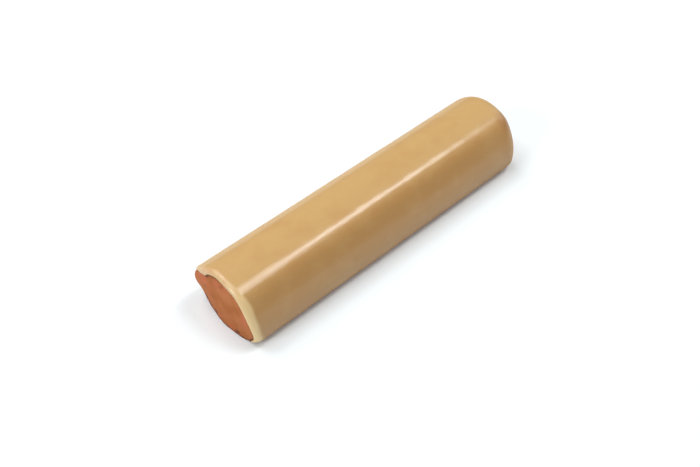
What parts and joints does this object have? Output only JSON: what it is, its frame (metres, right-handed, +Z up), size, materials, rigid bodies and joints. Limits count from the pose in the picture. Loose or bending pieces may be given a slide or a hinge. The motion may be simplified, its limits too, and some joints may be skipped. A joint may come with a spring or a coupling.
{
  "type": "pencil liner tile",
  "caption": "Half-round ceramic trim tile on short straight sides, glazed over the round, with a flat unglazed back and bare clay ends inside a raised glaze lip.",
  "frame": {"origin": "centre of the flat back, midway along the tile, on the surface that it lies on", "axes": "+X along the length of the tile, from the end with the run of thick glaze to the other end; +Y across the tile; +Z up from the flat back to the crown"},
  "size_m": [0.1, 0.025, 0.0182],
  "materials": {
    "glazed_terracotta": "gloss"
  },
  "bodies": {
    "root": {"pencil_liner_tile": "glazed_terracotta"}
  },
  "joints": []
}
